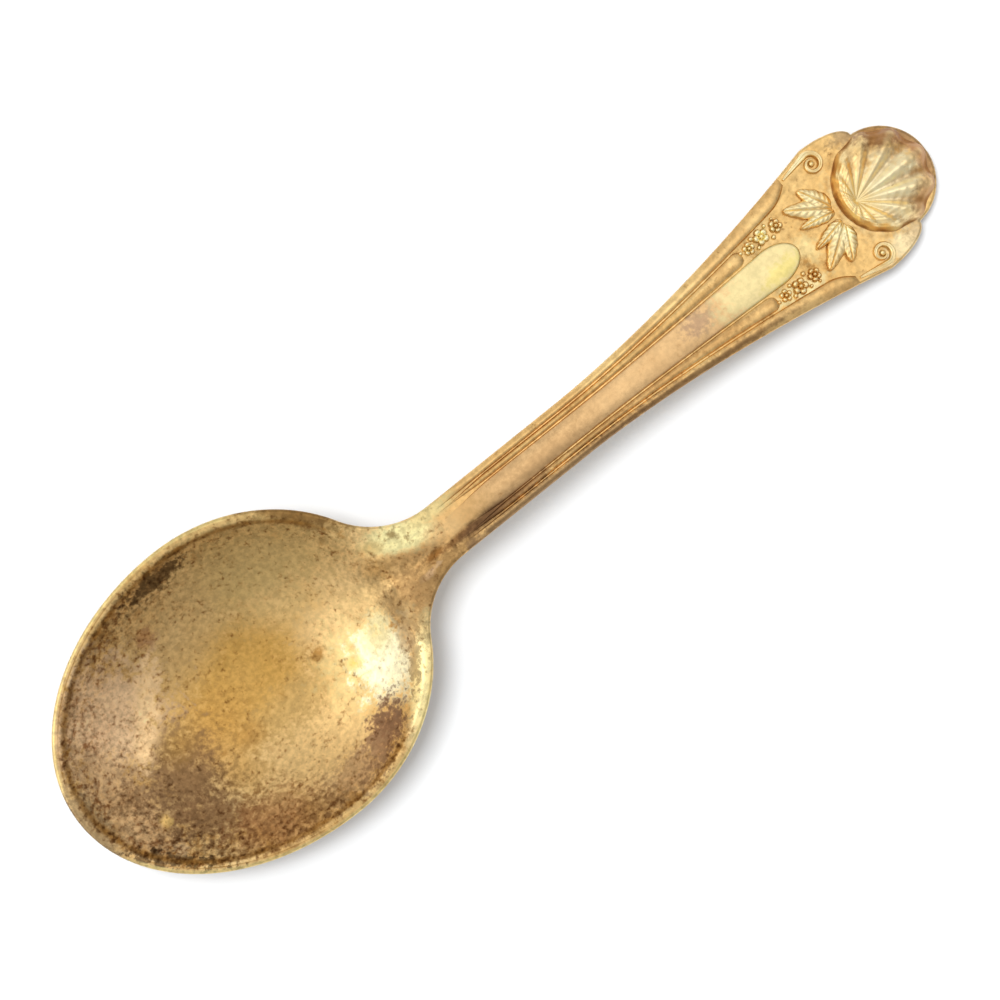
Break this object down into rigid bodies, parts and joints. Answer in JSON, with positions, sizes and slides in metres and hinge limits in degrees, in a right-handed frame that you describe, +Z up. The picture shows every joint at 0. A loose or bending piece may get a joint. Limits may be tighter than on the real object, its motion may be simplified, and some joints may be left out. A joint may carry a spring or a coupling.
{
  "type": "baby spoon",
  "caption": "Small gilt feeding spoon with an oval bowl on an arched, flared handle with a raised panel, moulded edges, blossom sprays and a fluted shell end.",
  "frame": {"origin": "under the middle of the spoon's box, on the table that it lies on", "axes": "+X from the bowl's tip to the end of the handle, +Y to the left across the spoon, +Z up"},
  "size_m": [0.108, 0.0328, 0.0095],
  "materials": {
    "bowl_gilt": "worn gilt plate, tarnished and speckled",
    "stem_gilt": "worn gilt plate",
    "panel_gilt": "polished gilt plate, softly worn",
    "rail_gilt": "worn gilt plate, dark in the grooves",
    "shell_gilt": "worn gilt plate, dark in the flutes",
    "ornament_gilt": "worn gilt plate, dark in the hollows"
  },
  "bodies": {
    "root": {"bowl": "bowl_gilt", "heel": "stem_gilt", "stem": "stem_gilt", "panel": "panel_gilt", "left_rail": "rail_gilt", "right_rail": "rail_gilt", "left_thread": "rail_gilt", "right_thread": "rail_gilt", "shell": "shell_gilt", "left_scroll": "ornament_gilt", "right_scroll": "ornament_gilt", "left_leaves": "ornament_gilt", "right_leaves": "ornament_gilt", "left_blossoms": "ornament_gilt", "right_blossoms": "ornament_gilt"}
  },
  "joints": []
}
